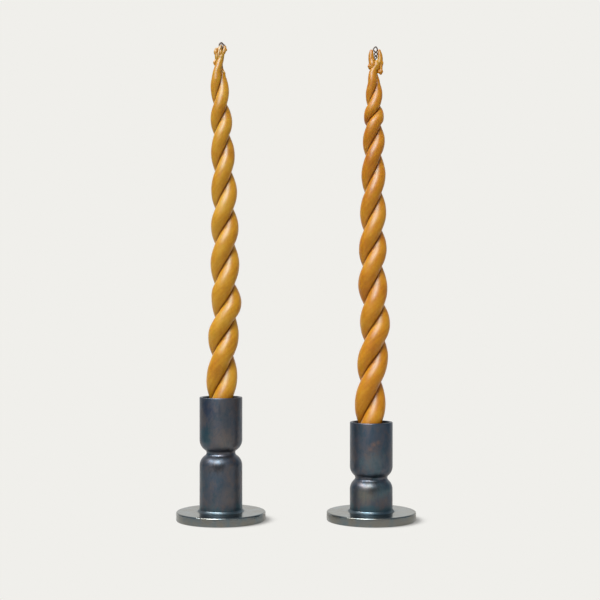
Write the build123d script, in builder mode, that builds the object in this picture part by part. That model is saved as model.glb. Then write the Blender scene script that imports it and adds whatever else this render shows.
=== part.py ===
from build123d import *
import os
from dataclasses import dataclass
from math import acos, atan, cos, degrees, hypot, pi, radians, sin, sqrt

# A pair of twisted havdalah candles, each standing in its own steel holder. Lengths are in millimetres.
# The origin is on the table midway between the holders, with +Z up and +X towards the short holder.

# Candles: two dipped tapers, wound round each other and pressed together while warm
taper_butt = 14.2
taper_curve = 2.5
pressed_share = 0.19
seam_gap = 0.05
tip_wax = 2.45
neck_wax = 0.35
neck_gap = 0.3
tip_turn = 90.0
crown_height = 1.0

# Lengths of each candle's half-turns, from its butt up, and of the last quarter-turn at its tip
tall_half_turns = (32.5, 34.0, 28.0, 25.0, 29.5, 26.0, 27.5, 27.5, 22.5, 27.0)
tall_tip_run = 9.0
short_half_turns = (35.0, 33.0, 30.0, 26.5, 28.5, 26.5, 28.0, 27.5, 22.0, 14.5, 20.0)
short_tip_run = 13.4

# How far each candle's tip stands to the side of its butt, and how far it bends sideways between them
tall_lean = -0.3
tall_bow = 5.0
short_lean = 4.1
short_bow = 0.8

# A soft kink that each candle has low down: how far it goes sideways, its height over the butt, its reach
tall_kink = 1.7
tall_kink_height = 103.0
tall_kink_reach = 18.0
short_kink = 2.6
short_kink_height = 105.0
short_kink_reach = 44.0

# Wick: one cotton cord, up one taper, over the top in a loop and down the other
wick_diameter = 1.6
wick_clearance = 0.06
wick_coat = 0.7
coat_reach = 55.0
loop_flare_radius = 8.0
loop_flare = 30.0

# Holders: a tube with a rolled waist, welded to a round plate. The waist stops the candle's butt.
tube_wall = 2.0
socket_play = 2.373
lean_clearance = 0.473
seat_clearance = 0.3
rim_round = 0.5
shoulder_radius = 9.0
groove_radius = 2.4
waist_to_rim = 41.1
base_diameter = 66.0
base_thickness = 6.4
base_edge_break = 0.9
base_foot_break = 0.4
weld_leg = 2.2
weld_hollow = 0.35
holder_spacing = 111.2

# How high each waist is over the plate, and how far its throat reaches in under the butt
tall_foot_to_waist = 43.3
tall_seat_ledge = 2.8
short_foot_to_waist = 24.9
short_seat_ledge = 1.5

# Turning from one lofted section to the next, in degrees, and the length that a slope is taken over
turn_step = 30.0
slope_length = 3.5

# Sizes that follow from these
butt_reach = taper_butt * (1 - pressed_share)
tube_radius = butt_reach + socket_play + tube_wall
coat_diameter = wick_diameter + 2 * wick_coat
taper_tip = coat_diameter + 2 * tip_wax
neck_thickness = coat_diameter + 2 * neck_wax
crown_thickness = (neck_thickness + coat_diameter) / 2
middle_share = 0.5 - pressed_share


@dataclass
class Stand:
    """One holder with its candle."""

    name: str
    x: float
    foot_to_waist: float
    seat_ledge: float
    half_turns: tuple
    tip_run: float
    seat_shift: float
    lean: float
    bow: float
    kink: float
    kink_height: float
    kink_reach: float


# Both candles stand against the left wall of their sockets.
wall_shift = -(socket_play - lean_clearance)
tall = Stand(
    name="tall",
    x=-holder_spacing / 2,
    foot_to_waist=tall_foot_to_waist,
    seat_ledge=tall_seat_ledge,
    half_turns=tall_half_turns,
    tip_run=tall_tip_run,
    seat_shift=wall_shift,
    lean=tall_lean,
    bow=tall_bow,
    kink=tall_kink,
    kink_height=tall_kink_height,
    kink_reach=tall_kink_reach,
)
short = Stand(
    name="short",
    x=holder_spacing / 2,
    foot_to_waist=short_foot_to_waist,
    seat_ledge=short_seat_ledge,
    half_turns=short_half_turns,
    tip_run=short_tip_run,
    seat_shift=wall_shift,
    lean=short_lean,
    bow=short_bow,
    kink=short_kink,
    kink_height=short_kink_height,
    kink_reach=short_kink_reach,
)


# Holders

def waist_height(stand):
    return base_thickness + stand.foot_to_waist


def rim_height(stand):
    return waist_height(stand) + waist_to_rim


def groove_middle(stand):
    """Radius at which the groove's arc has its centre, so that the throat inside carries the butt."""
    return butt_reach - stand.seat_ledge + tube_wall + groove_radius


def waist_arcs(stand):
    """Half the waist's height, and the angle through which each shoulder turns to meet the groove."""
    across = groove_middle(stand) - (tube_radius - shoulder_radius)
    reach = shoulder_radius + groove_radius
    return sqrt(reach**2 - across**2), degrees(acos(across / reach))


def throat_height(stand, radius):
    """Height of the tube's inner wall over the waist's middle, at a radius under the upper shoulder."""
    half_waist, angle = waist_arcs(stand)
    shoulder_middle = tube_radius - shoulder_radius
    inner_shoulder = shoulder_radius - tube_wall
    if radius >= shoulder_middle + inner_shoulder * cos(radians(angle)):
        return half_waist - sqrt(inner_shoulder**2 - (radius - shoulder_middle) ** 2)
    inner_groove = groove_radius + tube_wall
    return sqrt(inner_groove**2 - (groove_middle(stand) - radius) ** 2)


def upright_plane(stand):
    """The plane that a holder's section is drawn on, with its radius along X and its height along Y."""
    return Plane(origin=(stand.x, 0, 0), x_dir=(1, 0, 0), z_dir=(0, -1, 0))


def stand_axis(stand):
    return Axis((stand.x, 0, 0), (0, 0, 1))


def base_plate(stand):
    with BuildPart() as plate:
        with BuildSketch(Plane(origin=(stand.x, 0, 0))):
            Circle(base_diameter / 2)
        extrude(amount=base_thickness)
        chamfer(plate.edges().sort_by(Axis.Z)[-1], base_edge_break)
        chamfer(plate.edges().sort_by(Axis.Z)[0], base_foot_break)
    return plate.part


def socket_tube(stand):
    half_waist, angle = waist_arcs(stand)
    with BuildPart() as tube:
        with BuildSketch(upright_plane(stand)):
            with BuildLine():
                foot = Line((tube_radius, base_thickness), (tube_radius, waist_height(stand) - half_waist))
                lower = JernArc(foot @ 1, foot % 1, shoulder_radius, angle)
                groove = JernArc(lower @ 1, lower % 1, groove_radius, -2 * angle)
                upper = JernArc(groove @ 1, groove % 1, shoulder_radius, angle)
                Line(upper @ 1, (tube_radius, rim_height(stand)))
                offset(amount=tube_wall, side=Side.LEFT)
            make_face()
        revolve(axis=stand_axis(stand))
        fillet(tube.edges().group_by(Axis.Z)[-1], min(rim_round, tube_wall / 3))
    return tube.part


def foot_weld(stand):
    with BuildPart() as weld:
        with BuildSketch(upright_plane(stand)):
            with BuildLine():
                toe = (tube_radius + weld_leg, base_thickness)
                top = (tube_radius, base_thickness + weld_leg)
                throat = weld_leg / 2 - weld_hollow
                Polyline(top, (tube_radius, base_thickness), toe)
                ThreePointArc(toe, (tube_radius + throat, base_thickness + throat), top)
            make_face()
        revolve(axis=stand_axis(stand))
    return weld.part


# Shape of a candle

def twisted_length(stand):
    """Length of the wound wax, from its butt to the top of its last quarter-turn, which is the neck."""
    return sum(stand.half_turns) + stand.tip_run


def turn_marks(stand):
    """Heights over the butt where one taper is right in front of the other, and at the tip, with angles."""
    marks = [(0.0, -90.0)]
    for half_turn in stand.half_turns:
        height, angle = marks[-1]
        marks.append((height + half_turn, angle + 180))
    height, angle = marks[-1]
    return marks + [(height + stand.tip_run, angle + tip_turn)]


def turn_at(stand, height):
    """Angle of the first taper at a height over the butt."""
    marks = turn_marks(stand)
    for (low, start), (high, end) in zip(marks, marks[1:]):
        if height <= high:
            break
    return start + (end - start) * (height - low) / (high - low)


def levels(stand):
    """Heights of the lofted sections, butt to tip, in even steps of turning."""
    marks = turn_marks(stand)
    heights = [0.0]
    for (low, start), (high, end) in zip(marks, marks[1:]):
        steps = max(1, round((end - start) / turn_step))
        heights += [low + (high - low) * (step + 1) / steps for step in range(steps)]
    return heights


def thickness_at(stand, height):
    """Thickness of one dipped taper, which thins out slowly at first, and quickly at the neck."""
    share = min(max(height / sum(stand.half_turns), 0), 1)
    neck_share = max(height - sum(stand.half_turns), 0) / stand.tip_run
    tapered = taper_tip + (taper_butt - taper_tip) * (1 - share**taper_curve)
    return tapered - (taper_tip - neck_thickness) * neck_share


def middle_at(stand, height):
    """Distance of each taper's middle from the candle's own line: at the neck the coats stand apart."""
    return max(thickness_at(stand, height) * middle_share, (coat_diameter + neck_gap) / 2)


def lean_factor(stand, height):
    """How much longer a level cut is than the taper is thick, because the taper leans as it winds."""
    low = max(height - slope_length / 2, 0)
    turned = radians(turn_at(stand, low + slope_length) - turn_at(stand, low))
    return 1 / cos(atan(middle_at(stand, height) * turned / slope_length))


def butt_height(stand):
    """The butt stands on the throat of the waist, which its widest points reach."""
    reach = hypot(butt_reach, stand.seat_shift)
    return waist_height(stand) + throat_height(stand, reach) + seat_clearance


def candle_line(stand, height):
    """The point of the candle's own line at a height over the butt."""
    share = height / twisted_length(stand)
    sideways = stand.seat_shift + stand.lean * share + stand.bow * sin(pi * share)
    from_kink = min(abs(height - stand.kink_height) / stand.kink_reach, 1)
    sideways += stand.kink * (1 + cos(pi * from_kink)) / 2
    return Vector(stand.x + sideways, 0, butt_height(stand) + height)


def taper_plane(stand, height, side):
    """A level plane on the candle's line, with X towards the middle of the taper on that side."""
    towards = Vector(1, 0, 0).rotate(Axis.Z, turn_at(stand, height) + side)
    return Plane(candle_line(stand, height), x_dir=towards, z_dir=(0, 0, 1))


def wick_plane(stand, height, side):
    """A level plane on the middle of one taper, with X always the same way."""
    return Plane(taper_plane(stand, height, side).from_local_coords((middle_at(stand, height), 0, 0)))


def loop_plane(stand):
    """The upright plane of the wick's loop, on the candle's line at the top of the wound wax."""
    top = taper_plane(stand, twisted_length(stand), 0)
    return Plane(top.origin, x_dir=top.x_dir, z_dir=-top.y_dir)


def wound_outline(thickness, middle, widened):
    """A level cut through one taper: an ellipse, flat where it is pressed against the other taper."""
    across = thickness / 2
    along = across * widened
    opening = degrees(acos((seam_gap / 2 - middle) / across))
    third = 2 * opening / 3
    for start in (-opening, -third / 2, third / 2):
        EllipticalCenterArc((middle, 0), across, along, start, arc_size=third)
    edge = along * sin(radians(opening))
    Line((seam_gap / 2, edge), (seam_gap / 2, -edge))


def loop_line(stand, facing, reach):
    """Half of the loop's path: straight up out of the taper, outwards, then over the top through reach."""
    foot = middle_at(stand, twisted_length(stand))
    widest = foot + loop_flare_radius * (1 - cos(radians(loop_flare)))
    up = Line((facing * foot, 0), (facing * foot, crown_height))
    flare = JernArc(up @ 1, up % 1, loop_flare_radius, -facing * loop_flare)
    JernArc(flare @ 1, flare % 1, widest / cos(radians(loop_flare)), facing * reach)


# Candles: side is the taper's angle round the candle, and facing its side of the wick's loop
sides = {0: 1, 180: -1}


def wick_half(stand, side, diameter, below):
    """The cord in one taper: wound up its middle from below the butt, and then half of the loop."""
    heights = levels(stand)
    heights[0] -= below
    with BuildPart() as cord:
        for height in heights:
            with BuildSketch(wick_plane(stand, height, side)):
                with BuildLine():
                    for third in range(3):
                        CenterArc((0, 0), diameter / 2, 120 * third, 120)
                make_face()
        loft()
        with BuildLine(loop_plane(stand)) as path:
            loop_line(stand, sides[side], 90 + loop_flare)
        with BuildSketch(wick_plane(stand, heights[-1], side)):
            Circle(diameter / 2)
        sweep(path=path.line)
    return cord.part


def candle_strand(stand, side):
    """One taper, with the coat of wax that runs up its side of the wick's loop, bored for the wick."""
    bore = wick_half(stand, side, wick_diameter + 2 * wick_clearance, below=wick_diameter / 2)
    heights = levels(stand)
    with BuildPart() as strand:
        for height in heights:
            with BuildSketch(taper_plane(stand, height, side)):
                with BuildLine():
                    thickness = thickness_at(stand, height)
                    wound_outline(thickness, middle_at(stand, height), lean_factor(stand, height))
                make_face()
        with BuildSketch(taper_plane(stand, heights[-1], side).offset(crown_height)):
            with BuildLine():
                wound_outline(crown_thickness, middle_at(stand, heights[-1]), widened=1.0)
            make_face()
        loft()
        with BuildLine(loop_plane(stand)) as coat:
            loop_line(stand, sides[side], coat_reach)
        with BuildSketch(wick_plane(stand, heights[-1], side)):
            Circle(coat_diameter / 2)
        sweep(path=coat.line)
        add(bore, mode=Mode.SUBTRACT)
    return strand.part


def candle_wick(stand):
    halves = [wick_half(stand, side, wick_diameter, below=0) for side in sides]
    with BuildPart() as cord:
        add(halves)
    return cord.part


# Each piece of each stand is written to its own file
os.makedirs("parts", exist_ok=True)
for stand in (tall, short):
    pieces = {
        "base_plate": base_plate(stand),
        "socket_tube": socket_tube(stand),
        "foot_weld": foot_weld(stand),
        "candle_strand_a": candle_strand(stand, 0),
        "candle_strand_b": candle_strand(stand, 180),
        "candle_wick": candle_wick(stand),
    }
    for name, piece in pieces.items():
        piece.label = f"{stand.name}_{name}"
        export_step(piece, f"parts/{piece.label}.step")
        print(piece.label, "volume", round(piece.volume, 1), "valid", piece.is_valid)
    print(stand.name, "rim", round(rim_height(stand), 2), "butt", round(butt_height(stand), 2))
    print(stand.name, "wound wax", round(twisted_length(stand), 2), "tube", round(2 * tube_radius, 2))
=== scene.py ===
# %% [markdown]
# # Twisted candles in blued steel holders
# This lesson dresses a CAD model of two havdalah candles, each standing in its own steel holder.
# The CAD file fixes where everything is and how it moves. Here each piece gets the real one's skin:
# hand-dipped wax, a waxed cotton wick and blued steel.
# Everything is in metres, in the CAD model's own frame, so nothing has to be fitted by eye.

# %% The frame
import math
from types import SimpleNamespace

import bpy
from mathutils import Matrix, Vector, noise


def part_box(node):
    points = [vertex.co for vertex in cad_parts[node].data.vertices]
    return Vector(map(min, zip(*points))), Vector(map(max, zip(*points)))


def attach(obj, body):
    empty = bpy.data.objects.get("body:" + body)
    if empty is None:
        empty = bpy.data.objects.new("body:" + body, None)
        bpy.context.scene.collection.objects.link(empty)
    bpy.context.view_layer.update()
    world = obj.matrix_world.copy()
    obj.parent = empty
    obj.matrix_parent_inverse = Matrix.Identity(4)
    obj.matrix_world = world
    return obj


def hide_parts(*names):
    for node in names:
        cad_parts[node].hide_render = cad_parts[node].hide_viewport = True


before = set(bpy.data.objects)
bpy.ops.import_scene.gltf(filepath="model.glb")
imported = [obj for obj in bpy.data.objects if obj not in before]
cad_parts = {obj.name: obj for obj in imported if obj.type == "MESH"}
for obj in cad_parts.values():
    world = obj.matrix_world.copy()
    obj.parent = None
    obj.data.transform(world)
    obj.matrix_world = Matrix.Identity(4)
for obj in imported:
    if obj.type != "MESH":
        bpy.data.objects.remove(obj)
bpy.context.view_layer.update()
mm = 0.001

# %% [markdown]
# The photo was taken from straight in front with a level camera. The plates show as flat ellipses,
# which say how high it stood for its distance, and the tube's known width gives the size of a pixel.
# The middle of the picture is a little higher than the camera, so the lens is shifted up a little.

# %% The camera
picture_width = 600
pixel = 0.74 * mm
axis_column, floor_row = 296.1, 519.6
camera_distance, camera_height = 0.860, 0.150
sensor_width = 36.0

camera_place = ((picture_width / 2 - axis_column) * pixel, -camera_distance, camera_height)
bpy.ops.object.camera_add(location=camera_place, rotation=(math.radians(90), 0, 0))
camera = bpy.context.object
camera.data.sensor_width = sensor_width
camera.data.lens = sensor_width * camera_distance / (picture_width * pixel)
middle_height = (floor_row - picture_width / 2) * pixel
camera.data.shift_y = (middle_height - camera_height) / (picture_width * pixel)
bpy.context.scene.camera = camera
print("lens", round(camera.data.lens, 1), "mm")

# %% [markdown]
# A material is a small graph of nodes. These helpers keep the graphs short to write: each adds a node,
# sets its plain values and wires in what drives it. A socket knows the graph that it belongs to.


# %% Node helpers
def feed(node, values):
    """Fills a node's inputs by name or number: a socket is wired in, and a plain value is set."""
    for name, value in values.items():
        if isinstance(value, bpy.types.NodeSocket):
            node.id_data.links.new(value, node.inputs[name])
        else:
            node.inputs[name].default_value = value


def add_node(tree, kind, values=None, **settings):
    """A new node, with settings on the node itself and values for its inputs."""
    node = tree.nodes.new(kind)
    for name, value in settings.items():
        setattr(node, name, value)
    feed(node, values or {})
    return node


def colour(red, green, blue):
    """A colour as a picture shows it, 0 to 255, as the linear light that a shader takes."""
    shown = [value / 255 for value in (red, green, blue)]
    linear = [((v + 0.055) / 1.055) ** 2.4 if v > 0.04045 else v / 12.92 for v in shown]
    return (*linear, 1.0)


def ramp(stops, factor):
    """A colour ramp with (place, colour) stops, driven by a socket."""
    node = add_node(factor.id_data, "ShaderNodeValToRGB", {"Fac": factor})
    while len(node.color_ramp.elements) < len(stops):
        node.color_ramp.elements.new(0.5)
    for element, (place, tint) in zip(node.color_ramp.elements, stops):
        element.position = place
        element.color = tint
    return node.outputs["Color"]


def blend(factor, first, second):
    """A mix of a colour socket and a second colour, by a factor socket or number."""
    colours = {0: factor, 6: first, 7: second}
    return add_node(first.id_data, "ShaderNodeMix", colours, data_type="RGBA").outputs[2]


def mix_shaders(factor, first, second):
    """A mix of the shaders of two nodes, by a factor socket."""
    both = {0: factor, 1: first.outputs[0], 2: second.outputs[0]}
    return add_node(factor.id_data, "ShaderNodeMixShader", both)


def map_value(value, low, high, to_low, to_high):
    """A socket's range stretched onto another range."""
    values = {0: value, 1: low, 2: high, 3: to_low, 4: to_high}
    return add_node(value.id_data, "ShaderNodeMapRange", values).outputs[0]


def speckle(place, scale, detail=3.0, roughness=0.5, distortion=0.0):
    """Noise on a place socket, scale being the number of blots in a metre."""
    values = {"Scale": scale, "Detail": detail, "Roughness": roughness, "Distortion": distortion}
    return add_node(place.id_data, "ShaderNodeTexNoise", {"Vector": place, **values}).outputs["Fac"]


def stretched(place, scale):
    """A place socket squeezed along its axes, so that what is drawn on it comes out long."""
    values = {"Vector": place, "Scale": scale}
    return add_node(place.id_data, "ShaderNodeMapping", values).outputs["Vector"]


def bump(heights):
    """Bumps laid over each other from (height socket, strength, depth) rows, as a normal socket."""
    under = {}
    for height, strength, depth in heights:
        values = {"Height": height, "Strength": strength, "Distance": depth, **under}
        under = {"Normal": add_node(height.id_data, "ShaderNodeBump", values).outputs["Normal"]}
    return under["Normal"]


def new_finish(name):
    """An empty material with its shader, and the object's own coordinates."""
    finish = bpy.data.materials.new(name)
    finish.use_nodes = True
    tree = finish.node_tree
    shader = tree.nodes["Principled BSDF"]
    places = add_node(tree, "ShaderNodeTexCoord")
    return finish, tree, shader, places


print("helpers ready")

# %% [markdown]
# The studio is a pale table that runs into a pale wall, so the world has the table's colour wherever the
# camera looks past it. Steel mirrors a room instead: a grey one round the camera, darker and bluer at
# the sides, and the pale wall behind. That draws its light edges and dark strips. The soft light that
# falls on the candles from all round is a plain dim grey.

# %% The world
pale = colour(240, 239, 235)
world = bpy.data.worlds.new("studio")
bpy.context.scene.world = world
world.use_nodes = True
tree = world.node_tree
tree.nodes.clear()
direction = add_node(tree, "ShaderNodeTexCoord")
parts = add_node(tree, "ShaderNodeSeparateXYZ", {0: direction.outputs["Generated"]})
depth = map_value(parts.outputs["Y"], -1.0, 1.0, 0.0, 1.0)
room_stops = (
    (0.00, (0.42, 0.42, 0.43, 1)),
    (0.28, (0.38, 0.40, 0.43, 1)),
    (0.46, (0.20, 0.27, 0.34, 1)),
    (0.70, (0.17, 0.25, 0.33, 1)),
    (0.82, (0.58, 0.61, 0.64, 1)),
    (0.90, (0.90, 0.90, 0.88, 1)),
    (1.00, (0.90, 0.90, 0.87, 1)),
)
dim_light = (0.36, 0.34, 0.32, 1)
mirrored = add_node(tree, "ShaderNodeBackground", {"Color": ramp(room_stops, depth)})
ambient = add_node(tree, "ShaderNodeBackground", {"Color": dim_light})
wall = add_node(tree, "ShaderNodeBackground", {"Color": pale})
rays = add_node(tree, "ShaderNodeLightPath")
room = mix_shaders(rays.outputs["Is Glossy Ray"], ambient, mirrored)
around = mix_shaders(rays.outputs["Is Camera Ray"], room, wall)
add_node(tree, "ShaderNodeOutputWorld", {0: around.outputs[0]})
print("world", world.name)

# %% [markdown]
# One broad lamp hangs high in front, a little to the left. It is a sun with a wide face, because a sun
# lights the whole scene to the same level. A weaker sun from the left models the rounds of the wax. The
# third lamp only makes gloss: it is the soft box that wax and steel show as a pale streak.

# %% The lamps
lamp_target = Vector((0, 0, 0.15))


def lamp(kind, name, size, energy, place):
    """A lamp at a place, turned to the candles. Size is an angle for a sun and a width for a disc."""
    bpy.ops.object.light_add(type=kind, location=place)
    made = bpy.context.object
    made.name = name
    made.data.energy = energy
    made.rotation_euler = (lamp_target - Vector(place)).to_track_quat("-Z", "Y").to_euler()
    if kind == "SUN":
        made.data.angle = math.radians(size)
    else:
        made.data.shape = "DISK"
        made.data.size = size
    return made


key = lamp("SUN", "key", size=30, energy=2.25, place=(-0.24, -1.22, 1.70))
side = lamp("SUN", "side", size=8, energy=1.2, place=(-0.95, -0.28, 1.20))
gloss = lamp("AREA", "gloss", size=0.8, energy=33.0, place=(-0.50, -0.86, 1.10))
gloss.visible_diffuse = False
print("lamps", key.name, side.name, gloss.name)

# %% [markdown]
# The camera sees the table in its own pale colour whatever the light does, so it meets the wall without
# a line. Only close to a plate it darkens: an occlusion test, tilted to the left, finds how much light
# the plate keeps away, wherever a holder is moved. The steel mirrors a matt table that the lamps light.
# The light that the table throws back up is dimmer, which keeps the hollows deep.

# %% The table
table_size = 1.2
lit_share = 0.85
thrown_tone = (0.42, 0.41, 0.40, 1)
light_from = {"X": -0.70, "Y": 0.10, "Z": 0.71}
contact_reach = 30 * mm
most_hidden, least_hidden, darkest = 0.42, 0.76, 0.38

bpy.ops.mesh.primitive_plane_add(size=table_size, location=(0, 0, 0))
table = bpy.context.object
table.name = "table"
finish, tree, shader, _ = new_finish("pale_table")
tree.nodes.remove(shader)
to_light = add_node(tree, "ShaderNodeCombineXYZ", light_from).outputs[0]
nearby = {"Distance": contact_reach, "Normal": to_light}
contact = add_node(tree, "ShaderNodeAmbientOcclusion", nearby).outputs["AO"]
shade = map_value(contact, most_hidden, least_hidden, darkest, 1.0)
lit = tuple(share * lit_share for share in pale[:3]) + (1,)
matt = add_node(tree, "ShaderNodeBsdfDiffuse", {"Color": lit})
plain = add_node(tree, "ShaderNodeEmission", {"Color": pale, "Strength": shade})
dim = add_node(tree, "ShaderNodeBsdfDiffuse", {"Color": thrown_tone})
rays = add_node(tree, "ShaderNodeLightPath")
seen = mix_shaders(rays.outputs["Is Camera Ray"], matt, plain)
thrown = mix_shaders(rays.outputs["Is Diffuse Ray"], seen, dim)
feed(tree.nodes["Material Output"], {0: thrown.outputs[0]})
table.data.materials.append(finish)
print("table", table_size, "m")

# %% [markdown]
# Modelling by operators works on what is selected. These helpers start from nothing selected, pick
# edges or faces by where they are, and put a finished piece at the origin with its place in its mesh.


# %% Modelling helpers
def start_fresh():
    """Object mode, with nothing selected."""
    if bpy.context.mode != "OBJECT":
        bpy.ops.object.mode_set(mode="OBJECT")
    bpy.ops.object.select_all(action="DESELECT")


def pick(piece, kind, wanted):
    """Edit mode, with only the edges or faces selected whose points pass a test."""
    bpy.ops.object.mode_set(mode="EDIT")
    bpy.ops.mesh.select_mode(type=kind)
    bpy.ops.mesh.select_all(action="DESELECT")
    bpy.ops.object.mode_set(mode="OBJECT")
    for part in piece.data.edges if kind == "EDGE" else piece.data.polygons:
        part.select = wanted([piece.data.vertices[index].co for index in part.vertices])
    bpy.ops.object.mode_set(mode="EDIT")


def settle(piece, name, crease):
    """Names a piece, puts its place in its mesh and smooths it up to an angle."""
    start_fresh()
    piece.select_set(True)
    bpy.context.view_layer.objects.active = piece
    bpy.ops.object.transform_apply(location=True, rotation=True, scale=True)
    bpy.ops.object.shade_smooth_by_angle(angle=math.radians(crease))
    piece.name = name
    piece.data.name = name
    return piece


def join(piece, extras):
    """Extra meshes joined into a piece."""
    start_fresh()
    for extra in extras:
        extra.select_set(True)
    piece.select_set(True)
    bpy.context.view_layer.objects.active = piece
    bpy.ops.object.join()
    return piece


def dress(piece, body, finish):
    """A finished piece rides on its body, stands for the CAD node of its name and gets its finish."""
    node = piece.name.removesuffix("_skin")
    piece.data.materials.clear()
    piece.data.materials.append(finish)
    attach(piece, body)
    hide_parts(node)
    print(piece.name, len(piece.data.polygons), "faces")


stands = ("tall", "short")

# %% [markdown]
# The foot of each holder is a disc cut from quarter-inch plate. It starts as a cylinder of the CAD
# plate's own size. The top edge was eased with a file, so its rim gets a small round bevel, the lower
# edge a smaller one, and a narrow inset keeps the flat top shading flat right up to the bevel.

# %% Base plates
plate_sides = 192
plate_edge, plate_foot, edge_steps = 0.9 * mm, 0.4 * mm, 5
plate_insets = (0.25 * mm, 9 * mm)
level_slack = 0.01 * mm


def base_plate(stand):
    low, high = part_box(f"{stand}_base_plate")
    start_fresh()
    bpy.ops.mesh.primitive_cylinder_add(
        vertices=plate_sides,
        radius=(high.x - low.x) / 2,
        depth=high.z - low.z,
        location=(low + high) / 2,
    )
    plate = bpy.context.object
    bpy.ops.object.transform_apply(location=True)
    for level, size in ((high.z, plate_edge), (low.z, plate_foot)):
        pick(plate, "EDGE", lambda ends: all(abs(end.z - level) < level_slack for end in ends))
        bpy.ops.mesh.bevel(offset=size, segments=edge_steps, profile=0.5, affect="EDGES")
    for inset in plate_insets:
        pick(plate, "FACE", lambda corners: len(corners) > 4)
        bpy.ops.mesh.inset(thickness=inset)
    return settle(plate, f"{stand}_base_plate_skin", crease=30)


plates = {stand: base_plate(stand) for stand in stands}
print("plates", [piece.name for piece in plates.values()])

# %% [markdown]
# Each upright is one piece of tube. A waist was rolled into it, which leaves a soft shoulder above and
# below a tight groove. A round piece like this is best drawn as half a section and spun: a single point
# is extruded along the section, step by step, and the line is then turned through a full circle.

# %% The section of a tube
tube_wall = 2.0 * mm
shoulder = 9.0 * mm
groove = 2.4 * mm
rim_round = 0.6 * mm
waist_over_foot = {"tall": 43.3 * mm, "short": 24.9 * mm}
neck_radius = {"tall": 10.7 * mm, "short": 12.0 * mm}


def arc(middle, radius, start, end, steps=12):
    """Points on a round part of a section, from angle to angle, as (radius, height)."""
    angles = [math.radians(start + (end - start) * step / steps) for step in range(steps + 1)]
    return [(middle[0] + radius * math.cos(a), middle[1] + radius * math.sin(a)) for a in angles]


def tube_section(stand):
    """The outside of the tube from its foot up, over the rim and down the inside."""
    low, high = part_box(f"{stand}_socket_tube")
    outer = (high.x - low.x) / 2
    inner = outer - tube_wall
    waist = low.z + waist_over_foot[stand]
    across = neck_radius[stand] + groove - (outer - shoulder)
    turn = math.degrees(math.acos(across / (shoulder + groove)))
    rise = math.sqrt((shoulder + groove) ** 2 - across**2)
    lower, upper = (outer - shoulder, waist - rise), (outer - shoulder, waist + rise)
    ring = (neck_radius[stand] + groove, waist)
    outside = arc(lower, shoulder, 0, turn) + arc(ring, groove, 180 + turn, 180 - turn)
    outside += arc(upper, shoulder, -turn, 0)
    rim = arc((outer - rim_round, high.z - rim_round), rim_round, 0, 90, 5)
    rim += arc((inner + rim_round, high.z - rim_round), rim_round, 90, 180, 5)
    inside = arc(upper, shoulder - tube_wall, 0, -turn)
    inside += arc(ring, groove + tube_wall, 180 - turn, 180 + turn)
    inside += arc(lower, shoulder - tube_wall, turn, 0)
    return [(outer, low.z)] + outside + rim + inside + [(inner, low.z), (outer, low.z)]


print("points in a section", len(tube_section("tall")))

# %% [markdown]
# The section is spun about the holder's axis. Spin leaves a seam where it ends on its own start, so the
# doubled points are merged, and the faces are turned to look outwards. The waist was rolled by hand, so
# last of all the skin gets a slight unevenness, which breaks up the gloss.

# %% Socket tubes
spin_steps = 160
hand_rolled = 0.07 * mm
rolled_blot = 11 * mm


def spun(section, axis):
    """A closed skin: a point extruded along a section in the plane y = 0, spun round an upright axis."""
    start_fresh()
    points = [Vector((axis + radius, 0, height)) for radius, height in section]
    bpy.ops.mesh.primitive_plane_add(size=mm, location=points[0])
    piece = bpy.context.object
    bpy.ops.object.transform_apply(location=True)
    bpy.ops.object.mode_set(mode="EDIT")
    bpy.ops.mesh.select_mode(type="VERT")
    bpy.ops.mesh.select_all(action="SELECT")
    bpy.ops.mesh.merge(type="CENTER")
    for here, there in zip(points, points[1:]):
        bpy.ops.mesh.extrude_region_move(TRANSFORM_OT_translate={"value": there - here})
    bpy.ops.mesh.select_all(action="SELECT")
    bpy.ops.mesh.remove_doubles(threshold=0.001 * mm)
    bpy.ops.mesh.spin(steps=spin_steps, angle=2 * math.pi, center=(axis, 0, 0), axis=(0, 0, 1))
    bpy.ops.mesh.select_all(action="SELECT")
    bpy.ops.mesh.remove_doubles(threshold=0.005 * mm)
    bpy.ops.mesh.normals_make_consistent(inside=False)
    bpy.ops.object.mode_set(mode="OBJECT")
    return piece


def axis_of(stand):
    """Where a holder's axis stands along x."""
    low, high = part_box(f"{stand}_socket_tube")
    return (low.x + high.x) / 2


def socket_tube(stand):
    axis = axis_of(stand)
    tube = spun(tube_section(stand), axis)
    for point in tube.data.vertices:
        outwards = Vector((point.co.x - axis, point.co.y, 0)).normalized()
        point.co += outwards * (hand_rolled * noise.noise(point.co / rolled_blot) - hand_rolled)
    return settle(tube, f"{stand}_socket_tube_skin", crease=50)


socket_tubes = {stand: socket_tube(stand) for stand in stands}
print("tubes", [len(piece.data.polygons) for piece in socket_tubes.values()])

# %% [markdown]
# A weld runs round the foot of the tube. It was dressed smooth, but its ripples still show a little.
# The bead is spun like the tube, from a hollow little triangle, and its skin is then moved in and out
# by a wave that goes round it.

# %% Foot welds
weld_leg, weld_dressed = 2.2 * mm, 1.5 * mm
weld_round = 5.2 * mm
ripples, ripple_height, ripple_start = 74, 0.15 * mm, 0.1 * mm
ripple_wander, ripple_blot = 3, 7 * mm


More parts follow.
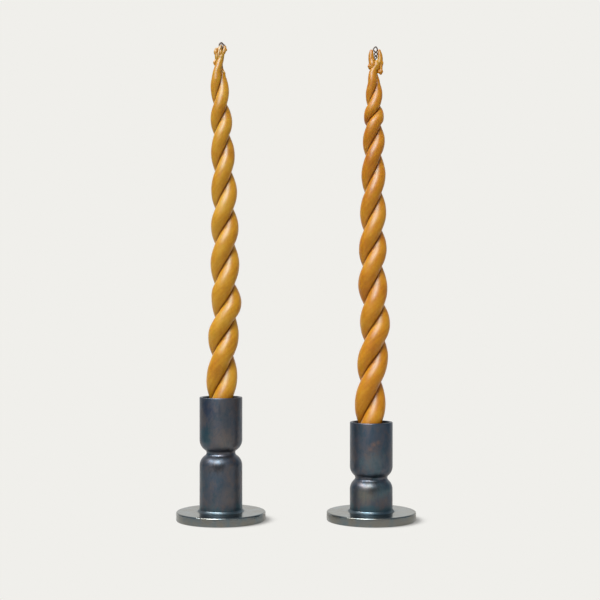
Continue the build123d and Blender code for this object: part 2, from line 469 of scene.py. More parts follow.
def foot_weld(stand):
    axis = axis_of(stand)
    low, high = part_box(f"{stand}_foot_weld")
    foot = low.z
    tube = (high.x - low.x) / 2 - weld_leg
    half = weld_dressed / math.sqrt(2)
    sweep = math.degrees(math.asin(half / weld_round))
    away = math.sqrt(weld_round**2 - half**2) / math.sqrt(2)
    middle = (tube + weld_dressed / 2 + away, foot + weld_dressed / 2 + away)
    hollow = arc(middle, weld_round, 225 + sweep, 225 - sweep, 8)
    bead = spun([(tube, foot)] + hollow + [(tube, foot)], axis)
    for point in bead.data.vertices:
        across = Vector((point.co.x - axis, point.co.y, 0))
        proud = min(across.length - tube, point.co.z - foot)
        if proud > ripple_start:
            wander = ripple_wander * noise.noise(point.co / ripple_blot)
            wave = math.sin(ripples * math.atan2(across.y, across.x) + wander)
            point.co += across.normalized() * ripple_height * wave
    return settle(bead, f"{stand}_foot_weld_skin", crease=60)


foot_welds = {stand: foot_weld(stand) for stand in stands}
print("welds", [len(piece.data.polygons) for piece in foot_welds.values()])

# %% [markdown]
# A candle is two tapers, dipped many times and wound round each other while they were warm. Where they
# press together they are flat. Two numbers describe a taper at any height: how thick it is, and how far
# it has turned round the candle's line. The half-turns are not all equal, because hands wound them, so
# their lengths are listed one by one, as in the CAD model.

# %% The run of a candle
taper_butt, taper_tip, taper_curve = 14.2 * mm, 7.9 * mm, 2.5
pressed_share, seam_gap = 0.19, 0.05 * mm
middle_share = 0.5 - pressed_share
candles = {
    "tall": SimpleNamespace(
        half_turns=(32.5, 34.0, 28.0, 25.0, 29.5, 26.0, 27.5, 27.5, 22.5, 27.0),
        tip_run=9.0, seat_shift=-1.9, lean=-0.3, bow=5.0,
        kink=1.7, kink_height=103.0, kink_reach=18.0,
        neck_run=24.0, neck_loss=0.24,
    ),
    "short": SimpleNamespace(
        half_turns=(35.0, 33.0, 30.0, 26.5, 28.5, 26.5, 28.0, 27.5, 22.0, 14.5, 20.0),
        tip_run=13.4, seat_shift=-1.9, lean=4.1, bow=0.8,
        kink=2.6, kink_height=105.0, kink_reach=44.0,
        neck_run=45.0, neck_loss=0.18,
    ),
}
for stand, candle in candles.items():
    candle.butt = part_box(f"{stand}_candle_strand_a")[0].z
    candle.axis = axis_of(stand)
    candle.wound = sum(candle.half_turns) * mm
    candle.length = candle.wound + candle.tip_run * mm
    candle.crossing = candle.butt + candle.wound
    print(stand, "butt", round(candle.butt / mm, 1), "last crossing", round(candle.crossing / mm, 1))


def turn_at(candle, height):
    """Angle of the first taper round the candle at a height over the butt, in degrees."""
    low, angle = 0.0, -90.0
    for half_turn in candle.half_turns:
        if height <= low + half_turn * mm:
            return angle + 180 * (height - low) / (half_turn * mm)
        low += half_turn * mm
        angle += 180
    return angle + 90 * min((height - low) / (candle.tip_run * mm), 1.0)


def thickness_at(candle, height):
    """Thickness of one taper, which was drawn out a little more near the neck."""
    share = min(max(height / candle.wound, 0), 1)
    drawn = min(max(1 + (height - candle.wound) / (candle.neck_run * mm), 0), 1)
    full = taper_tip + (taper_butt - taper_tip) * (1 - share**taper_curve)
    return full * (1 - candle.neck_loss * drawn**2)


def line_at(candle, height):
    """How far the candle's own line stands to the side at a height over the butt."""
    share = min(height / candle.length, 1.0)
    sideways = candle.seat_shift + candle.lean * share + candle.bow * math.sin(math.pi * share)
    from_kink = min(abs(height / mm - candle.kink_height) / candle.kink_reach, 1)
    sideways += candle.kink * (1 + math.cos(math.pi * from_kink)) / 2
    return candle.axis + sideways * mm


def lean_factor(candle, height):
    """How much longer a level cut is than the taper is thick, because it leans as it winds."""
    step = 1.75 * mm
    low, high = max(height - step, 0), min(height + step, candle.wound)
    turned = math.radians(turn_at(candle, high) - turn_at(candle, low)) / (high - low)
    return math.hypot(1, thickness_at(candle, height) * middle_share * turned)


# %% [markdown]
# Round the last crossing the two tapers leave their even winding, and above it they part. This top is
# described by a few stations chosen from the photo: height, place to the side, place in depth and
# radius. A smooth curve runs through them.

# %% Necks of the tips
# In millimetres: height over the last crossing, place to the side from the candle's line at its top,
# place in depth, radius.
necks = {
    ("tall", "front"): (
        (-3.5, -0.7, -1.6, 3.1), (0.0, 0.1, -1.5, 2.9), (4.0, 1.1, -0.8, 2.8),
        (7.5, 2.3, -0.6, 2.2), (11.0, 3.6, -0.5, 1.2), (14.0, 4.4, -0.3, 0.8),
    ),
    ("tall", "back"): (
        (-3.5, 2.2, 1.5, 2.9), (0.0, 1.4, 1.5, 2.6), (4.0, 0.9, 0.9, 2.4),
        (7.5, 0.1, 0.2, 2.0), (10.5, -1.0, -0.1, 1.3), (13.0, -1.4, -0.2, 0.9),
    ),
    ("short", "front"): (
        (-3.5, -1.5, -1.6, 3.3), (0.0, -1.5, -1.6, 3.2), (4.5, -1.0, -1.2, 2.9),
        (8.5, 0.8, -0.7, 2.7), (12.5, 3.6, -0.4, 1.9), (17.0, 4.2, -0.2, 1.1),
    ),
    ("short", "back"): (
        (-3.5, 1.5, 1.6, 3.0), (0.0, 0.9, 1.7, 2.9), (4.5, -0.4, 1.3, 2.6),
        (8.5, -1.2, 0.5, 2.4), (12.5, -2.2, 0.0, 1.8), (17.0, -2.4, 0.0, 1.1),
    ),
}
neck_start = 9 * mm
lead_in = (4, 2, 0)


def through(stations, height):
    """The values at a height on a smooth curve through stations, whose first value is their height."""
    last = len(stations) - 2
    index = max(i for i in range(last + 1) if i == 0 or stations[i][0] <= height)
    low, high = stations[index], stations[index + 1]
    before, after = stations[max(index - 1, 0)], stations[min(index + 2, last + 1)]
    span = high[0] - low[0]
    t = min(max((height - low[0]) / span, 0.0), 1.0)
    values = []
    for here, there, first, second in zip(low[1:], high[1:], before[1:], after[1:]):
        leaving = (there - first) / (high[0] - before[0]) * span
        arriving = (second - here) / (after[0] - low[0]) * span
        cubic = (2 * t**3 - 3 * t**2 + 1) * here + (t**3 - 2 * t**2 + t) * leaving
        values.append(cubic + (3 * t**2 - 2 * t**3) * there + (t**3 - t**2) * arriving)
    return values


def wound_station(candle, side, height):
    """A taper's station on its wound run: height, place to the side, place in depth, radius."""
    thickness = thickness_at(candle, height)
    angle = math.radians(turn_at(candle, height) + side)
    away = thickness * middle_share
    aside = line_at(candle, height) + away * math.cos(angle)
    return height, aside, away * math.sin(angle), thickness / 2


def face_of(stand, side):
    """Whether a taper passes in front or at the back at the last crossing."""
    candle = candles[stand]
    in_front = math.sin(math.radians(turn_at(candle, candle.wound) + side)) < 0
    return "front" if in_front else "back"


def in_metres(candle, stations, foot=0.0):
    """Stations written in millimetres from the candle's line at its top, with a foot under them."""
    top_line = line_at(candle, candle.length)
    return [
        (foot + up * mm, top_line + aside * mm, deep * mm, radius * mm)
        for up, aside, deep, radius in stations
    ]


def taper_route(stand, side):
    """The stations of a taper's top, from under the last crossing to where the wick comes out."""
    candle = candles[stand]
    start = candle.wound - neck_start
    wound = [wound_station(candle, side, start - below * mm) for below in lead_in]
    return wound + in_metres(candle, necks[stand, face_of(stand, side)], candle.wound)


print("neck stations", sum(len(stations) for stations in necks.values()))

# %% [markdown]
# A taper starts as a plain cylinder with many rings. Winding it up is then one rule for all its points:
# a point's height in the cylinder says how far up the taper it sits, and its angle says where on the
# pressed section. The cylinder's own UV map stays with it, so later the finish can follow the wax.
# A value is kept for each point near the groove between two tapers, to paint shade into the groove.

# %% Winding a taper
taper_sides, taper_cuts = 64, (100, 4)
ring_crowding, ring_slack = 1.4, 1e-6
flat_share = 0.2
neck_blend = 13 * mm
butt_round, butt_power = 0.9 * mm, 0.2
# How wide and how soft the painted shade along the groove is.
shade_band_width, shade_band_power = 0.14, 1.5
lump, lump_length = 0.022, 13 * mm
dimple, dimple_blot, dimple_power, dimple_sunk = 0.10 * mm, 5.5 * mm, 4, 0.3


def ringed_cylinder(sides, cuts):
    """A unit cylinder from z = 0 to 1, cut into many rings."""
    start_fresh()
    bpy.ops.mesh.primitive_cylinder_add(
        vertices=sides, radius=1, depth=1, location=(0, 0, 0.5), end_fill_type="TRIFAN"
    )
    piece = bpy.context.object
    bpy.ops.object.transform_apply(location=True)
    for count in cuts:
        pick(piece, "EDGE", lambda ends: abs(ends[0].z - ends[1].z) > ring_slack)
        bpy.ops.mesh.subdivide(number_cuts=count)
    bpy.ops.object.mode_set(mode="OBJECT")
    return piece


def cap_share(height, top, radius):
    """How much of its radius a rounded end still has near its top."""
    into = (height - (top - radius)) / radius
    return 1.0 if into <= 0 else math.sqrt(max(1 - into * into, 0.0))


def pressed_point(angle, radius, widened, flatness):
    """A point of a level section, from the taper's middle: a round, flat where two tapers press."""
    middle = min(2 * radius * middle_share, radius)
    opening = math.acos((min(seam_gap / 2, middle) - middle) / radius)
    turn = abs(angle) / math.pi
    if turn <= 1 - flat_share:
        around = opening * turn / (1 - flat_share)
        pressed = Vector((radius * math.cos(around), radius * math.sin(around)))
    else:
        edge = radius * math.sin(opening) * (1 - turn) / flat_share
        pressed = Vector((seam_gap / 2 - middle, edge))
    plain = Vector((radius * math.cos(angle), radius * math.sin(abs(angle))))
    point = plain.lerp(pressed, flatness)
    return point.x, math.copysign(point.y * widened, angle)


def wound_taper(stand, side):
    candle = candles[stand]
    route = taper_route(stand, side)
    top = route[-1][0]
    piece = ringed_cylinder(taper_sides, taper_cuts)
    painted_shade_values = []
    for point in piece.data.vertices:
        height = top * (1 - (1 - point.co.z) ** ring_crowding)
        if height <= candle.wound - neck_start:
            _, aside, deep, radius = wound_station(candle, side, height)
        else:
            aside, deep, radius = through(route, height)
        past = min(max((height - candle.wound + neck_start) / neck_blend, 0), 1)
        flatness = 1 - past * past * (3 - 2 * past)
        swell = 1 + lump * noise.noise((side, height / lump_length, candle.axis / mm)) * flatness
        rounded = cap_share(top - height, top, butt_round) ** butt_power
        radius *= swell * (cap_share(height, top, route[-1][3]) * rounded)
        angle = math.atan2(point.co.y, point.co.x)
        widened = 1 + (lean_factor(candle, height) - 1) * flatness
        out, along = pressed_point(angle, max(radius, 1e-6), widened, flatness)
        if point.co.xy.length < 0.5:
            out = along = 0
        turned = math.radians(turn_at(candle, height) + side)
        place = Vector((
            aside + out * math.cos(turned) - along * math.sin(turned),
            deep + out * math.sin(turned) + along * math.cos(turned),
            candle.butt + height,
        ))
        # Closeness to the groove, which the finish turns into painted shade.
        turn = abs(angle) / math.pi
        off_seam = abs(1 - flat_share - turn) / shade_band_width
        painted_shade_values.append(max(0.0, 1 - off_seam) ** shade_band_power * flatness)
        rounds = min(turn / (1 - flat_share), 1.0)
        pull = dimple * noise.noise(place / dimple_blot) * (1 - rounds**dimple_power)
        outwards = (place - Vector((aside, deep, place.z))).normalized()
        point.co = place + outwards * (pull - dimple * dimple_sunk)
    painted_groove_shade = piece.data.attributes.new("painted_groove_shade", "FLOAT", "POINT")
    painted_groove_shade.data.foreach_set("value", painted_shade_values)
    return piece


print("a taper has", taper_sides, "sides")

# %% [markdown]
# The crown of each candle is wax that gathered round the wick: two ears, a ridge between them, and runs
# that set as drops. Each lobe is a small stack of rounds with both ends closed. The lobes of one taper
# are joined and remeshed, which melts them into one skin, and a little smoothing takes off the steps.

# %% Lobes of wax
# Stations as for the necks, in millimetres.
lobes = {
    ("tall", "front"): (
        ((9.4, 3.5, -0.7, 1.0), (11.2, 4.2, -0.8, 1.4), (13.5, 4.7, -0.6, 1.5), (15.5, 4.8, -0.3, 1.2)),
        ((13.2, 6.1, -0.8, 0.75), (13.9, 6.1, -0.8, 0.7)),
        ((8.6, 2.0, -1.6, 0.9), (11.5, 2.1, -1.6, 1.25), (13.6, 1.9, -1.3, 1.0)),
        ((7.0, 2.2, -0.8, 2.0), (8.6, 2.6, -0.7, 2.1), (10.4, 3.0, -0.6, 1.7)),
        ((12.0, 3.2, 0.2, 1.1), (14.0, 3.2, 0.2, 1.0)),
        ((13.0, 2.0, 0.5, 1.2), (15.0, 2.2, 0.5, 1.1), (17.0, 2.4, 0.4, 0.8)),
    ),
    ("tall", "back"): (
        ((9.2, -1.1, -0.6, 1.0), (10.8, -1.5, -0.7, 1.5), (12.6, -1.5, -0.6, 1.55),
         (13.9, -1.2, -0.5, 1.2)),
        ((2.7, -2.3, -1.1, 0.8), (4.0, -2.4, -1.0, 1.2), (5.4, -1.9, -0.9, 1.1),
         (7.0, -1.3, -0.7, 0.7)),
        ((6.6, 0.0, -0.2, 1.8), (8.6, -0.2, -0.2, 1.9), (10.4, -0.6, -0.2, 1.6), (13.0, 0.1, 0.2, 1.3)),
        ((12.0, 0.0, 0.3, 1.3), (14.0, 0.3, 0.3, 1.2), (15.2, 0.6, 0.3, 0.9)),
        ((5.4, -0.4, -0.6, 1.3), (7.6, -0.7, -0.7, 1.6), (9.8, -0.9, -0.7, 1.5),
         (11.4, -1.1, -0.6, 1.3)),
        ((-5.3, 4.8, 0.0, 0.7), (-3.5, 4.5, -0.3, 1.05), (-1.8, 3.9, -0.2, 0.7)),
    ),
    ("short", "front"): (
        ((11.6, 4.0, -0.5, 2.2), (14.8, 4.4, -0.4, 1.95), (17.8, 4.2, -0.3, 1.65),
         (20.1, 3.7, -0.2, 1.25)),
        ((6.2, 5.0, -0.9, 1.1), (8.6, 5.1, -0.9, 1.1), (11.2, 5.5, -0.9, 1.3), (13.2, 5.1, -0.8, 1.1)),
        ((3.5, 4.8, -0.9, 1.1), (4.5, 4.9, -0.9, 1.65), (5.6, 5.0, -0.9, 1.3)),
        ((4.3, 3.6, -1.2, 1.0), (4.9, 3.4, -1.2, 0.9)),
        ((7.4, 1.2, -0.9, 2.4), (9.2, 1.6, -0.8, 2.7), (10.7, 1.7, -0.6, 2.5)),
        ((5.2, 2.6, 0.4, 1.5), (8.0, 3.2, 0.3, 1.7), (11.0, 3.6, 0.2, 1.9)),
    ),
    ("short", "back"): (
        ((11.2, -1.9, -0.3, 2.2), (14.4, -2.2, -0.3, 2.15), (17.6, -2.3, -0.2, 1.9),
         (19.8, -2.1, -0.1, 1.45)),
        ((7.7, -2.9, -0.8, 1.6), (8.7, -3.0, -0.9, 2.0), (9.7, -2.8, -0.8, 1.6)),
        ((6.8, -0.9, -0.1, 2.5), (9.0, -0.8, -0.1, 2.8), (10.6, -0.6, -0.1, 2.5)),
        ((8.0, -1.2, -1.3, 2.2), (10.5, -1.3, -1.3, 2.3), (12.6, -1.6, -0.9, 2.0)),
        ((12.0, -1.0, -0.4, 1.6), (14.0, -1.3, -0.4, 1.4), (16.0, -1.5, -0.3, 1.2)),
    ),
}
lobe_sides, lobe_rings = 24, 30
lobe_voxel = 0.15 * mm
soft_share, soft_rounds = 0.5, 3


def wax_lobe(candle, stations):
    route = in_metres(candle, stations)
    foot, top = route[0][0] - route[0][3], route[-1][0] + route[-1][3]
    piece = ringed_cylinder(lobe_sides, (lobe_rings,))
    for point in piece.data.vertices:
        height = foot + (top - foot) * (1 - math.cos(math.pi * point.co.z)) / 2
        aside, deep, radius = through(route, height)
        under = cap_share(foot + top - height, top, route[0][3])
        radius *= cap_share(height, top, route[-1][3]) * under
        point.co = (aside + radius * point.co.x, deep + radius * point.co.y, candle.crossing + height)
    return piece


def crown(stand, which):
    """All the lobes of one taper, melted into one skin."""
    first, *others = [wax_lobe(candles[stand], stations) for stations in lobes[stand, which]]
    piece = join(first, others)
    melt = piece.modifiers.new("melt", "REMESH")
    melt.mode = "VOXEL"
    melt.voxel_size = lobe_voxel
    soften = piece.modifiers.new("soften", "SMOOTH")
    soften.factor, soften.iterations = soft_share, soft_rounds
    for modifier in ("melt", "soften"):
        bpy.ops.object.modifier_apply(modifier=modifier)
    return piece


print("lobes", sum(len(rows) for rows in lobes.values()))

# %% [markdown]
# Each strand is its wound taper and its share of the crown in one piece. The taper that passes in front
# at the last crossing gets the front lobes, and the other the back lobes.

# %% Tapers of both candles
sides = {"a": 0, "b": 180}


def candle_strand(stand, letter):
    taper = wound_taper(stand, sides[letter])
    top = crown(stand, face_of(stand, sides[letter]))
    return settle(join(taper, [top]), f"{stand}_candle_strand_{letter}_skin", crease=48)


strands = {(stand, letter): candle_strand(stand, letter) for stand in stands for letter in sides}
print("strands", [len(piece.data.polygons) for piece in strands.values()])

# %% [markdown]
# One wick runs up one taper, over the top and down the other. On the tall candle it stands up as an arch
# with wax along one leg, and on the short one its two legs are twisted into a little chain. It is a tube
# of three plies, so its section is drawn with three lobes that turn as they go along.

# %% The wick's way over the top
# Points from the candle's line at its top, in millimetres: side, depth, height over the last crossing.
arch = (
    (0.6, 0.6, 6.0), (0.5, -1.6, 8.8), (0.6, -2.5, 11.0), (1.3, -2.4, 14.0), (1.9, -1.8, 16.2),
    (0.9, -0.9, 16.8), (1.2, -0.3, 17.8), (2.5, -0.1, 19.2), (3.4, 0.0, 18.2), (4.6, 0.0, 16.9),
    (6.1, 0.0, 15.6), (4.6, -0.4, 15.0), (3.1, -1.2, 16.2), (3.7, -1.6, 15.2), (3.0, -1.2, 14.2),
    (3.1, -0.6, 12.0), (2.8, -0.6, 8.0),
)
chain_eyes = ((15.4, 0.9, 1.1), (17.8, 1.25, 1.2), (21.0, 0.8, 1.5))
chain_crossings = (14.2, 16.5, 19.1, 23.4)
chain_depth, chain_forward, chain_steps = 0.5, 0.3, 6


def chain():
    """Both legs of the twisted loop, up one side of each eye and down the other."""
    foot, top = chain_crossings[0], chain_crossings[-1]
    middle_stations = [(foot, 0.5, 0.0)] + list(chain_eyes) + [(top, 1.1, 0.0)]
    up, down = [], []
    for number, (low, high) in enumerate(zip(chain_crossings, chain_crossings[1:])):
        way = (-1) ** number
        for step in range(chain_steps):
            share = step / chain_steps
            height = low + (high - low) * share
            middle, _ = through(middle_stations, height)
            width = chain_eyes[number][2] * math.sin(math.pi * share) * way
            depth = chain_depth * math.cos(math.pi * share) * way
            up.append((middle - width, -depth - chain_forward, height))
            down.append((middle + width, depth - chain_forward, height))
    into_left, into_right = (-0.6, 0.2, 9.0), (1.2, -0.4, 9.0)
    turning = (middle_stations[-1][1], -chain_forward, top)
    return [into_left] + up + [turning] + down[::-1] + [into_right]


overs = {"tall": arch, "short": chain()}
print("points over the top", [len(points) for points in overs.values()])

# %% [markdown]
# The wick's way inside the wax is the middle line of each taper. The whole way is drawn as one smooth
# curve, and a long cylinder is bent along it. A mark called waxed is kept for the stretch that wax
# covers.

# %% Wicks
wick_radius = {"tall": 0.66 * mm, "short": 0.5 * mm}
wick_sides, wick_cuts = 24, (100, 7)
plies, ply_depth, ply_turn = 3, 0.13, 2 * math.pi / (4.5 * mm)
wick_step, curve_steps, loop_crowding = 6 * mm, 14, 1.7
bare_over = {"tall": 16.3 * mm, "short": 10.5 * mm}
coat_past_top = 4 * mm


def wick_route(stand):
    """Points of the wick from one butt over the top to the other butt."""
    candle = candles[stand]
    top_line = line_at(candle, candle.length)
    over = [Vector((top_line + x * mm, y * mm, candle.crossing + z * mm)) for x, y, z in overs[stand]]
    wound = candle.wound - neck_start
    count = round(wound / wick_step)
    legs = []
    for side in sides.values():
        stations = [wound_station(candle, side, wound * step / count) for step in range(count + 1)]
        legs.append([Vector((aside, deep, candle.butt + up)) for up, aside, deep, _ in stations])
    legs.sort(key=lambda leg: (leg[-1] - over[0]).length)
    return legs[0] + over + legs[1][::-1]


def smooth_line(points):
    """The points as one smooth curve, read back as many short steps."""
    curve = bpy.data.curves.new("route", "CURVE")
    curve.dimensions = "3D"
    curve.resolution_u = curve_steps
    spline = curve.splines.new("NURBS")
    spline.points.add(len(points) - 1)
    for control, point in zip(spline.points, points):
        control.co = (*point, 1)
    spline.order_u = 3
    spline.use_endpoint_u = True
    route = bpy.data.objects.new("route", curve)
    bpy.context.scene.collection.objects.link(route)
    bpy.context.view_layer.update()
    line = [point.co.copy() for point in bpy.data.meshes.new_from_object(route).vertices]
    bpy.data.objects.remove(route)
    return line


def frames_along(line):
    """Each point of a line with its distance from the start and two directions across."""
    across, gone, made = Vector((1, 0, 0)), 0.0, []
    for index, point in enumerate(line):
        ahead = (line[min(index + 1, len(line) - 1)] - line[max(index - 1, 0)]).normalized()
        across = (across - ahead * across.dot(ahead)).normalized()
        gone += (point - line[index - 1]).length if index else 0.0
        made.append((gone, point, across, ahead.cross(across)))
    return made


def candle_wick(stand):
    marks = frames_along(smooth_line(wick_route(stand)))
    length = marks[-1][0]
    bare = candles[stand].crossing + bare_over[stand]
    piece = ringed_cylinder(wick_sides, wick_cuts)
    waxed, index = [0.0] * len(piece.data.vertices), 0
    for point in sorted(piece.data.vertices, key=lambda vertex: vertex.co.z):
        away = 2 * point.co.z - 1
        gone = length / 2 * (1 + math.copysign(abs(away) ** loop_crowding, away))
        while index < len(marks) - 2 and marks[index + 1][0] < gone:
            index += 1
        low, high = marks[index], marks[index + 1]
        share = min(max((gone - low[0]) / (high[0] - low[0]), 0), 1)
        middle = low[1].lerp(high[1], share)
        angle = math.atan2(point.co.y, point.co.x)
        plied = 1 - ply_depth + ply_depth * math.cos(plies * angle + ply_turn * gone)
        radius = wick_radius[stand] * plied if point.co.xy.length > 0.5 else 0
        point.co = middle + low[2] * radius * math.cos(angle) + low[3] * radius * math.sin(angle)
        if middle.z < bare and gone < length / 2 + coat_past_top:
            waxed[point.index] = 1.0
    coat = piece.data.attributes.new("waxed", "FLOAT", "POINT")
    coat.data.foreach_set("value", waxed)
    print(stand, "wick", round(length / mm), "mm")
    return settle(piece, f"{stand}_candle_wick_skin", crease=60)


wicks = {stand: candle_wick(stand) for stand in stands}

# %% [markdown]
# Beeswax is not one colour. It is mottled where the dips set unevenly, streaked along the taper, pale
# where it was handled and brown in the pits. The grooves are darkened as painted shade. At the crown
# the coat is thinner and paler. Light goes a little way in, so the shader has some subsurface, and its
# gloss is cool. The streaks follow the taper's own UV map, and the mottling the object's coordinates.

# %% Beeswax
# The first colour is painted shade for the grooves between the tapers, the second the brown of the pits.
groove_shade_colour, pit_tint = colour(122, 62, 4), colour(120, 70, 14)
crown_low, crown_high, crown_share = 330 * mm, 346 * mm, 0.25
cool_gloss = (0.58, 0.86, 1.0, 1)
wax_tints = {
    "tall": ((178, 107, 2), (206, 148, 26), (217, 168, 54), (214, 176, 98)),
    "short": ((174, 96, 1), (202, 134, 12), (214, 157, 38), (196, 142, 44)),
}


def beeswax(stand):
    finish, tree, shader, places = new_finish(f"beeswax_{stand}")
    deep, middle, light, crown_tint = [colour(*tint) for tint in wax_tints[stand]]
    place, along = places.outputs["Object"], places.outputs["UV"]
    broad = speckle(place, 46, detail=2.0)
    streak = speckle(stretched(along, (14, 46, 1)), 1.0, detail=3.0, distortion=0.5)
    fine = speckle(place, 520, detail=3.0)
    tone = blend(0.30, broad, streak)
    tone = blend(0.20, tone, fine)
    tint = ramp(((0.30, deep), (0.50, middle), (0.68, light)), tone)
    # Painted shade: the wax turns to the groove colour towards the groove between the two tapers.
    groove_shade_attribute = add_node(tree, "ShaderNodeAttribute", attribute_name="painted_groove_shade")
    tint = blend(groove_shade_attribute.outputs["Fac"], tint, groove_shade_colour)
    cells = {"Vector": place, "Scale": 240.0, "Randomness": 1.0}
    pits = add_node(tree, "ShaderNodeTexVoronoi", cells)
    pit = map_value(pits.outputs["Distance"], 0.05, 0.16, 0.0, 1.0)
    tint = blend(map_value(pit, 0.0, 1.0, 0.14, 0.0), tint, pit_tint)
    up = add_node(tree, "ShaderNodeSeparateXYZ", {0: place}).outputs["Z"]
    thin_coat = map_value(up, crown_low, crown_high, 0.0, crown_share)
    mottled, streaked = (broad, 0.25, 0.5 * mm), (streak, 0.12, 0.2 * mm)
    grained, pitted = (fine, 0.04, 0.1 * mm), (pit, 0.10, 0.1 * mm)
    feed(shader, {
        "Base Color": blend(thin_coat, tint, crown_tint),
        "Roughness": map_value(broad, 0.3, 0.7, 0.36, 0.46),
        "Normal": bump((mottled, streaked, grained, pitted)),
        "Subsurface Weight": 0.22,
        "Subsurface Radius": (3.6 * mm, 1.5 * mm, 0.4 * mm),
        "Subsurface Scale": 1.0,
        "Specular IOR Level": 0.38,
        "Specular Tint": cool_gloss,
    })
    return finish


wax = {stand: beeswax(stand) for stand in stands}
print("wax", [finish.name for finish in wax.values()])

# %% [markdown]
# The steel was blued: heated or dipped until a thin dark film grew on it. The film is never even. It
# clouds from slate to teal, and to a purplish brown where it was thickest, with a fine grain. Heat left
# marks of its own: some that the photo shows, and a stain round each foot, where the weld's heat ran out.
# Two dark marks on the lower shoulder of each waist are painted shade, which dims the gloss there.
# A metal shader with a dark tint does this, because it mirrors the room in the tint of the film.

# %% Marks of the heat, and painted shade
cloud_low, cloud_high = 0.3, 0.7
mark_inner, mark_outer, mark_wander = 0.4, 1.1, 0.6
stain_inner, stain_outer, stain_wander, stain_share = 18.5 * mm, 20.5 * mm, 3.0 * mm, 0.65
# Marks that show from the front: place and reach in millimetres, colour and strength.
heat_and_shade_marks = (
    ((60, -15.5, 58.5), 2.4, (128, 102, 90), 0.65),
    ((56.5, -16, 57), 2.4, (128, 102, 90), 0.60),
    ((54, -16, 53.5), 2.2, (122, 98, 90), 0.55),
    ((56, -15, 45), 9.0, (92, 108, 114), 0.55),
    ((50, -15, 20), 8.0, (112, 112, 100), 0.60),
    ((64, -14, 24), 8.0, (86, 106, 110), 0.60),
    ((60, -15, 66), 10.0, (72, 86, 102), 0.55),
    ((-52, -15, 59), 9.0, (108, 103, 98), 0.60),
    ((-47, -15, 18), 9.0, (104, 98, 96), 0.55),
    ((-66, -11, 62), 8.0, (52, 82, 92), 0.70),
    ((-65, -12, 82), 8.0, (52, 62, 84), 0.60),
    ((-60, -15, 33), 9.0, (76, 88, 102), 0.50),
    # The last two marks are painted shade: dark blots that dim the gloss on the lower shoulder of each
    # waist.
    ((-57, -13, 42.5), 7.0, (46, 43, 42), 0.70),
    ((54, -13, 26), 7.0, (46, 43, 42), 0.70),
)


def ragged(away, cloud, wander):
    """A distance socket made uneven by a cloud."""
    values = {0: away, 1: map_value(cloud, cloud_low, cloud_high, -wander, wander)}
    return add_node(away.id_data, "ShaderNodeMath", values, operation="ADD").outputs[0]


def distance(place, point):
    """How far a place socket is from a point."""
    ends = {0: place, 1: point}
    return add_node(place.id_data, "ShaderNodeVectorMath", ends, operation="DISTANCE").outputs["Value"]


def heat_and_shade_marked(place, tint, cloud):
    """A tint with the marks laid over it, each a soft blot with a ragged edge."""
    for point, reach, mark, strength in heat_and_shade_marks:
        away = distance(place, [value * mm for value in point])
        edge = ragged(away, cloud, mark_wander * reach * mm)
        share = map_value(edge, mark_inner * reach * mm, mark_outer * reach * mm, strength, 0.0)
        tint = blend(share, tint, colour(*mark))
    return tint


def foot_stain(place, tint, cloud, stain):
    """A tint with a ragged stain round the foot of each tube."""
    left, right = [distance(place, (axis_of(stand), 0, 0)) for stand in stands]
    nearest = add_node(place.id_data, "ShaderNodeMath", {0: left, 1: right}, operation="MINIMUM")
    edge = ragged(nearest.outputs[0], cloud, stain_wander)
    share = map_value(edge, stain_inner, stain_outer, stain_share, 0.0)
    return blend(share, tint, stain)


print("heat marks", len(heat_and_shade_marks))

# %% [markdown]
# Tube, plate and weld are the same steel, each with tints and a roughness of its own. The weld has no
# stain.

# %% Blued steel
# Slate, teal, brown and stain as a picture shows them, and the least and the most roughness.
steel_looks = {
    "tube": ((80, 85, 95), (60, 78, 90), (98, 92, 91), (64, 92, 102), 0.36, 0.44),
    "plate": ((115, 118, 117), (98, 113, 119), (121, 118, 109), (52, 72, 84), 0.18, 0.28),
    "weld": ((86, 102, 110), (62, 90, 102), (92, 94, 94), None, 0.32, 0.42),
}


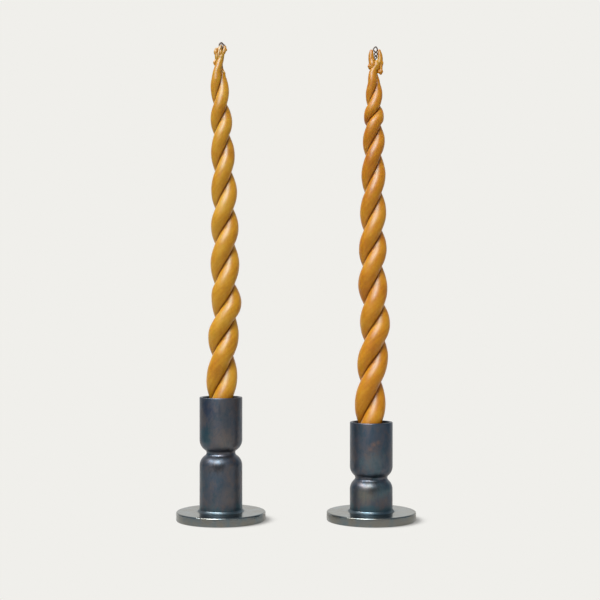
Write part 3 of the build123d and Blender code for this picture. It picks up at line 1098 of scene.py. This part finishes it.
def blued_steel(part):
    finish, _, shader, places = new_finish(f"blued_{part}")
    place = places.outputs["Object"]
    *tints, stain, rough_low, rough_high = steel_looks[part]
    slate, teal, brown = [colour(*tint) for tint in tints]
    drawn = stretched(place, (1.0, 1.0, 0.7))
    cloud = speckle(drawn, 95, detail=7.0, roughness=0.68, distortion=0.5)
    patch = speckle(place, 38, detail=5.0, roughness=0.6, distortion=0.6)
    fine = speckle(place, 900, detail=4.0, roughness=0.7)
    tint = ramp(((0.40, teal), (0.51, slate), (0.64, brown)), cloud)
    tint = blend(map_value(patch, 0.52, 0.66, 0.0, 0.7), tint, brown)
    tint = blend(map_value(fine, 0.40, 0.66, 0.0, 0.55), tint, slate)
    tint = heat_and_shade_marked(place, tint, cloud)
    grain = speckle(stretched(place, (1.0, 1.0, 0.5)), 330, detail=6.0, roughness=0.7)
    tint = blend(map_value(grain, 0.50, 0.66, 0.0, 0.45), tint, teal)
    tint = blend(map_value(grain, 0.36, 0.48, 0.40, 0.0), tint, brown)
    if stain:
        tint = foot_stain(place, tint, cloud, colour(*stain))
    feed(shader, {
        "Base Color": tint,
        "Roughness": map_value(cloud, cloud_low, cloud_high, rough_low, rough_high),
        "Normal": bump(((cloud, 0.10, 0.25 * mm), (fine, 0.05, 0.05 * mm))),
        "Metallic": 1.0,
    })
    return finish


steel = {part: blued_steel(part) for part in steel_looks}
print("steel", [finish.name for finish in steel.values()])

# %% [markdown]
# The wick is cotton that soaked up wax. Bare, it is dark brown, and under a coat it is pale cream. The
# mark called waxed says which is which.


# %% Waxed cotton
def waxed_cotton(name):
    finish, tree, shader, places = new_finish(name)
    fibre = speckle(stretched(places.outputs["UV"], (9, 900, 1)), 1.0, detail=3.0)
    blot = speckle(places.outputs["Object"], 700, detail=3.0)
    bare = ramp(((0.35, colour(52, 32, 18)), (0.65, colour(98, 66, 36))), fibre)
    cream = ramp(((0.35, colour(214, 182, 130)), (0.65, colour(240, 220, 178))), blot)
    coat = add_node(tree, "ShaderNodeAttribute", attribute_name="waxed")
    feed(shader, {
        "Base Color": blend(coat.outputs["Fac"], bare, cream),
        "Normal": bump(((fibre, 0.4, 0.12 * mm), (blot, 0.2, 0.08 * mm))),
        "Roughness": 0.55,
    })
    return finish


wick_finish = waxed_cotton("waxed_cotton")
print("wick", wick_finish.name)

# %% [markdown]
# Last, every skin goes onto the CAD piece that it stands for: it rides on that piece's body, hides the
# plain solid and takes its finish.

# %% Dressing the model
for stand in stands:
    dress(plates[stand], f"{stand}_holder", steel["plate"])
    dress(socket_tubes[stand], f"{stand}_holder", steel["tube"])
    dress(foot_welds[stand], f"{stand}_holder", steel["weld"])
    for letter in sides:
        dress(strands[stand, letter], f"{stand}_candle", wax[stand])
    dress(wicks[stand], f"{stand}_candle", wick_finish)

# %% [markdown]
# The picture is shown plainly, without a film look, so that a colour comes out as it was chosen.

# %% How the picture is shown
bpy.context.scene.view_settings.view_transform = "Standard"
